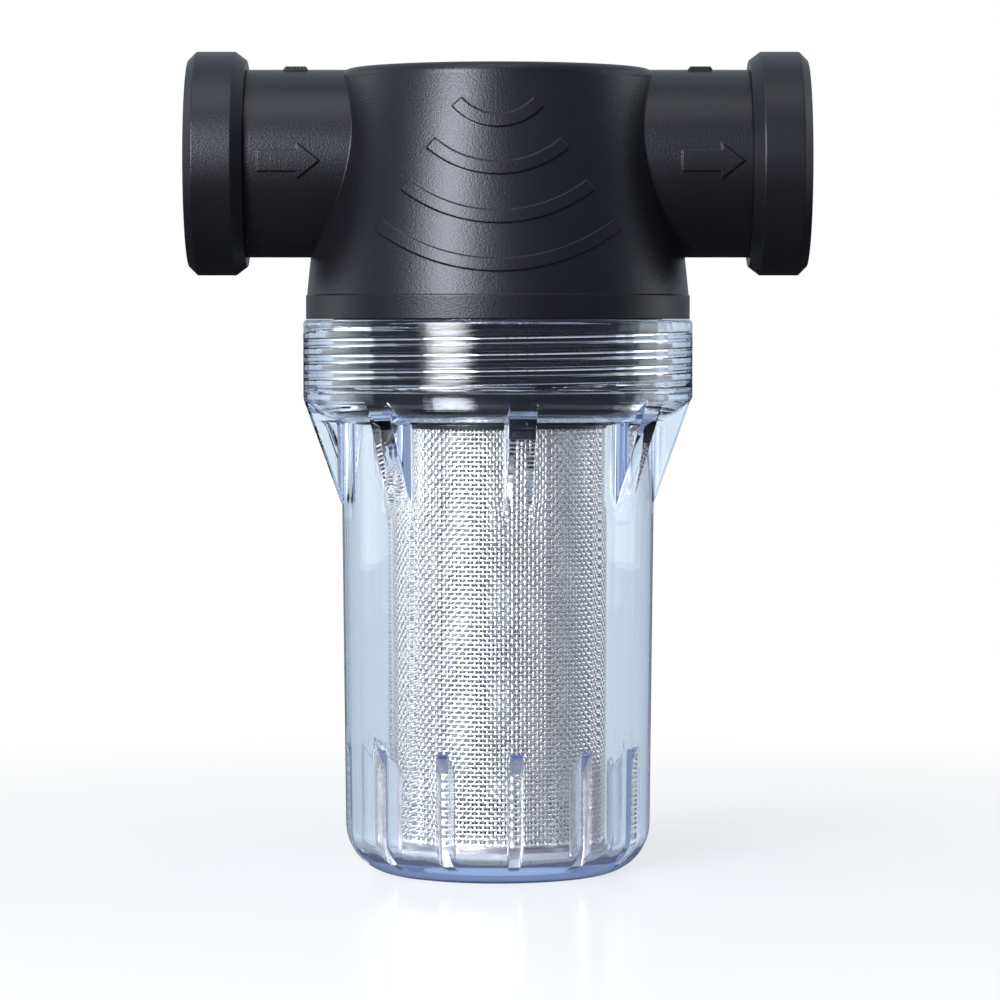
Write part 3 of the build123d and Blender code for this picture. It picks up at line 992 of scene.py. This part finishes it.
@dataclass
class Screen:
    """The screen cartridge, with its cloth woven wire by wire."""

    low: float
    high: float
    cloth_radius: float = 20.2 * MM
    wire_radius: float = 0.24 * MM
    warp_crimp: float = 0.25 * MM
    weft_crimp: float = 0.1 * MM
    warp_count: int = 166
    weft_pitch: float = 0.85 * MM
    sides: int = 6
    lap_centre: float = -74.0
    lap_wires: int = 9
    lap_lift: float = 0.42 * MM

    def dress(self) -> None:
        """Weaves the cloth and gives the cartridge's solids their finishes."""
        steel = SCREEN_STEEL.material()
        for spread in Spread:
            self.weave(spread, steel)
        self.lap(steel)
        dress_node("screen_top_cap", CAP_PLASTIC)
        dress_node("screen_top_band", BAND_PLASTIC)
        dress_node("screen_hoop", BAND_PLASTIC)
        dress_node("screen_top_seal", SEAL_RUBBER)
        dress_node("screen_bottom_cap", CAP_STEEL)
        dress_node("screen_bottom_pad", PAD_RUBBER)

    def weft_count(self) -> int:
        """Number of wires round the screen."""
        return int((self.high - self.low) / self.weft_pitch)

    def crossings(self, turns: Array, radius: float) -> tuple[Array, Array, Array]:
        """Where the wires cross.

        Warp and weft stand off the cloth's middle by their crimps, to opposite sides, and change sides from
        one crossing to the next.

        Args:
            turns: Angles of the warp wires.
            radius: Middle radius of the cloth.

        Returns:
            Heights of the weft wires, and both sets' radius at each crossing, as (warp, weft).
        """
        count = self.weft_count()
        heights = self.low + (np.arange(count) + 0.5) * (self.high - self.low) / count
        over = np.where((np.arange(len(turns))[:, None] + np.arange(count)[None]) % 2 == 0, 1.0, -1.0)
        return heights, radius + over * self.warp_crimp, radius - over * self.weft_crimp

    @staticmethod
    def halved(values: Array, axis: int) -> Array:
        """Adds the mean of each two neighbours between them."""
        values = np.moveaxis(values, axis, 0)
        found = np.empty((2 * len(values) - 1, *values.shape[1:]))
        found[::2] = values
        found[1::2] = (values[1:] + values[:-1]) / 2
        return np.moveaxis(found, 0, axis)

    def wires(self, spread: Spread, turns: Array, radius: float, closed: bool) -> Arrays:
        """Wires that run one way, carried from crossing to crossing with one step between.

        Args:
            spread: Which way they run.
            turns: Angles of the warp wires.
            radius: Middle radius of the cloth.
            closed: Whether the cloth goes all the way round.

        Returns:
            Points and quads.
        """
        heights, warp, weft = self.crossings(turns, radius)
        if spread is Spread.WARP:
            heights, warp = self.halved(heights, 0), self.halved(warp, 1)
        else:
            weft = self.halved(np.concatenate([weft, weft[:1]]), 0)
            turns = self.halved(np.append(turns, 2 * turns[-1] - turns[-2]), 0)
            if closed:
                weft, turns = weft[:-1], turns[:-1]
        reach = warp if spread is Spread.WARP else weft
        cos, sin = np.cos(turns)[:, None], np.sin(turns)[:, None]
        flat = np.zeros_like(reach)
        outward = np.stack([cos + flat, sin + flat, flat], -1)
        paths = outward * reach[..., None] + np.stack([flat, flat, flat + heights[None]], -1)
        if spread is Spread.WARP:
            across = np.stack([-sin + flat, cos + flat, flat], -1)
            return Mesh.tube(paths, outward, across, self.wire_radius, self.sides, False)
        across = np.zeros_like(outward)
        across[..., 2] = -1
        swapped = [part.transpose(1, 0, 2) for part in (paths, outward, across)]
        return Mesh.tube(*swapped, self.wire_radius, self.sides, closed)

    def weave(self, spread: Spread, steel: bpy.types.Material) -> None:
        """Makes all the wires of the cloth that run one way."""
        turns = TURN * np.arange(self.warp_count) / self.warp_count
        points, quads = self.wires(spread, turns, self.cloth_radius, True)
        per_wire = len(points) // (self.warp_count if spread is Spread.WARP else self.weft_count())
        half = len(points) // per_wire // 2 * per_wire
        first = quads.max(axis=1) < half
        name = f"screen_{spread.name.lower()}"
        self._finish(f"{name}_1", points[:half], quads[first], steel)
        self._finish(f"{name}_2", points[half:], quads[~first] - half, steel)

    def lap(self, steel: bpy.types.Material) -> None:
        """Makes the cloth's lapped edge, a narrow second layer over the seam."""
        step = TURN / self.warp_count
        middle = round(math.radians(self.lap_centre % 360) / step / 2) * 2
        turns = (middle + np.arange(self.lap_wires) - (self.lap_wires - 1) // 2) * step
        sets = [self.wires(spread, turns, self.cloth_radius + self.lap_lift, False) for spread in Spread]
        points = np.concatenate([found for found, _ in sets])
        quads = np.concatenate([sets[0][1], sets[1][1] + len(sets[0][0])])
        self._finish("screen_lap", points, quads, steel)

    @staticmethod
    def _finish(name: str, points: Array, quads: Array, steel: bpy.types.Material) -> None:
        """Makes a set of wires a piece of the cartridge."""
        piece = Mesh.piece(name, points, quads, None, steel, 180.0)
        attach(piece, "cartridge")
        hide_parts("screen_mesh")
        log.info("%s: %d faces", name, len(quads))


def dress_node(name: str, finish: Finish) -> None:
    """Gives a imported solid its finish."""
    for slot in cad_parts[name].material_slots:
        slot.material = finish.material()
    log.info("%s: %s", name, finish.name)


@dataclass(frozen=True)
class SoftBox:
    """A rectangular lamp that faces a point of the vertical axis."""

    name: str
    place: tuple[float, float, float]
    size: tuple[float, float]
    watts: float
    aim_height: float
    peak: float = 1.2

    def hang(self) -> None:
        """Hangs the lamp, its light fading smoothly towards its edges.

        The strength at a point of the box is the peak times the square of s times t times two less t. Here
        s is four times u times one less u, and t the same of v, where u runs from 0 to 1 across the box and
        v along.
        """
        data = bpy.data.lights.new(self.name, "AREA")
        data.shape = "RECTANGLE"
        data.size, data.size_y = self.size
        data.energy = self.watts
        data.use_nodes = True
        graph = Graph(data.node_tree)
        across, along, _ = graph.parts(graph.node("ShaderNodeNewGeometry").outputs["Parametric"])
        width = across * (1 - across) * 4.0
        length = along * (1 - along) * 4.0
        strength = width * width * length * (2 - length) * self.peak
        glow = graph.node("ShaderNodeEmission", None, {"Strength": strength})
        graph.node("ShaderNodeOutputLight", None, {"Surface": glow.outputs[0]})
        lamp = bpy.data.objects.new(self.name, data)
        lamp.location = self.place
        x, y, z = self.place
        lamp.rotation_euler = (math.atan2(math.hypot(x, y), z - self.aim_height), 0, math.atan2(x, -y))
        bpy.context.scene.collection.objects.link(lamp)


SOFT_BOXES = (
    SoftBox("key", (-0.45, -0.76, 0.38), (0.6, 0.68), 26.0, 0.1),
    SoftBox("edge_left", (-0.8, 0.25, 0.2), (0.8, 1.0), 2.6, 0.09),
    SoftBox("edge_right", (0.8, 0.25, 0.2), (0.8, 1.0), 2.6, 0.09),
    SoftBox("top", (-0.1, -0.25, 0.85), (0.8, 0.6), 2.4, 0.1),
)


@dataclass
class Studio:
    """Pale floor, soft lamps and the camera at the photograph's angle."""

    camera_distance: float = 0.855
    camera_height: float = 0.1053
    camera_side: float = 0.0004
    camera_pitch: float = 2.31
    lens: float = 162.0
    floor_size: float = 60.0
    floor_colour: Colour = (0.81, 0.87, 0.93, 1.0)
    dark_floor: Colour = (0.02, 0.022, 0.03, 1.0)
    front_floor: Colour = (0.2, 0.21, 0.24, 1.0)
    through_colour: Colour = (0.76, 0.9, 1.0, 1.0)
    room_colour: Colour = (0.17, 0.185, 0.26, 1.0)
    ceiling_colour: Colour = (0.4, 0.4, 0.4, 1.0)
    overhead_colour: Colour = (0.92, 0.92, 0.97, 1.0)
    soft_colour: Colour = (0.86, 0.9, 0.96, 1.0)
    white: Colour = (1.0, 1.0, 1.0, 1.0)
    rim_share: float = 0.5

    def build(self) -> None:
        """Sets the whole stage."""
        self.view()
        self.floor()
        self.world()
        for box in SOFT_BOXES:
            box.hang()

    def view(self) -> None:
        """Places the camera and keeps the view transform plain."""
        data = bpy.data.cameras.new("view")
        data.lens = self.lens
        data.sensor_width = 36.0
        data.clip_end = 100.0
        camera = bpy.data.objects.new("view", data)
        camera.location = (self.camera_side, -self.camera_distance, self.camera_height)
        camera.rotation_euler = (math.radians(90 - self.camera_pitch), 0, 0)
        scene = bpy.context.scene
        scene.collection.objects.link(camera)
        scene.camera = camera
        scene.view_settings.view_transform = "Standard"

    def floor(self) -> None:
        """Lays the floor.

        The camera sees a pale floor with the shadow near the object, which turns to the background's white
        further out. Gloss mirrors a dark floor, or a pale one once a ray has been reflected several times
        in clear plastic. A ray that leaves clear plastic sees a pale one, which is darker in front of the
        object once the ray has been reflected.
        """
        half = self.floor_size / 2
        points = np.array([(-half, -half, 0), (half, -half, 0), (half, half, 0), (-half, half, 0)])
        material = bpy.data.materials.new("stage_floor")
        material.use_nodes = True
        graph = Graph(material.node_tree)
        place = graph.place()
        _, back, _ = graph.parts(place)
        rays = graph.rays()
        gloss = graph.spread(graph.noise(3.0, 2.0), 0.3, 0.7, 0.12, 0.16)
        inputs = {"Base Color": self.floor_colour, "Roughness": gloss, "Specular IOR Level": 0.3}
        lit = graph.node("ShaderNodeBsdfPrincipled", None, inputs)
        pale = graph.glow(self.through_colour, 0.85)
        far = graph.spread(graph.length(place), 0.06, 0.28, 0.62, 1.0)
        seen = graph.blend(far, lit, graph.glow(self.white))
        caught = graph.spread(rays["Glossy Depth"], 2.0, 3.0, 0.0, 0.65)
        mirrored = graph.blend(caught, graph.glow(self.dark_floor), pale)
        front = graph.spread(rays["Glossy Depth"], 0.0, 1.0) * graph.spread(back, -0.05, 0.05, 1.0, 0.0)
        through = graph.blend(front, pale, graph.glow(self.front_floor))
        surface = graph.blend(
            rays["Is Transmission Ray"], graph.blend(rays["Is Glossy Ray"], seen, mirrored), through)
        graph.node("ShaderNodeOutputMaterial", None, {"Surface": surface.outputs[0]})
        floor = Mesh.piece("stage_floor", points, np.array([[0, 1, 2, 3]]), None, material)

    def world(self) -> None:
        """Sets what is all round.

        The camera sees white. Gloss sees a dim room under a paler ceiling, with a share of pale blue behind
        the object for the rims. A ray that leaves clear plastic sees pale blue, or, once it has been
        reflected, pale blue behind and the room under a bright ceiling elsewhere. All other light is soft
        and even.
        """
        world = bpy.data.worlds.new("studio")
        bpy.context.scene.world = world
        world.use_nodes = True
        graph = Graph(world.node_tree)
        _, back, up = graph.parts(graph.node("ShaderNodeTexCoord").outputs["Generated"])
        rays = graph.rays()
        room = graph.mix(graph.spread(up, 0.45, 0.9), self.room_colour, self.ceiling_colour)
        overhead = graph.mix(graph.spread(up, 0.1, 0.6), self.room_colour, self.overhead_colour)
        white = graph.glow(self.white, 1.0, "Background")
        clear = graph.glow(self.through_colour, 1.0, "Background")
        soft = graph.glow(self.soft_colour, 0.45, "Background")
        behind = graph.spread(back, -0.1, 0.4)
        rim = graph.blend(behind * self.rim_share, graph.glow(room, 1.0, "Background"), clear)
        mirrored = graph.blend(behind, graph.glow(overhead, 1.0, "Background"), clear)
        refracted = graph.blend(graph.spread(rays["Glossy Depth"], 0.0, 1.0), clear, mirrored)
        glossy = graph.blend(rays["Is Glossy Ray"], soft, rim)
        through = graph.blend(rays["Is Transmission Ray"], glossy, refracted)
        seen = graph.blend(rays["Is Camera Ray"], through, white)
        graph.node("ShaderNodeOutputWorld", None, {"Surface": seen.outputs[0]})


def main() -> None:
    """Builds every sub-assembly and the stage."""
    bowl_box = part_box("bowl")
    mesh_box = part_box("screen_mesh")
    ring_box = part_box("outlet_ring")
    Head((ring_box[0].z + ring_box[1].z) / 2).dress()
    Bowl(bowl_box[1].z + RIM_EXTRA, bowl_box[1].x).build()
    Screen(mesh_box[0].z, mesh_box[1].z).dress()
    Studio().build()


if __name__ == "__main__":
    main()
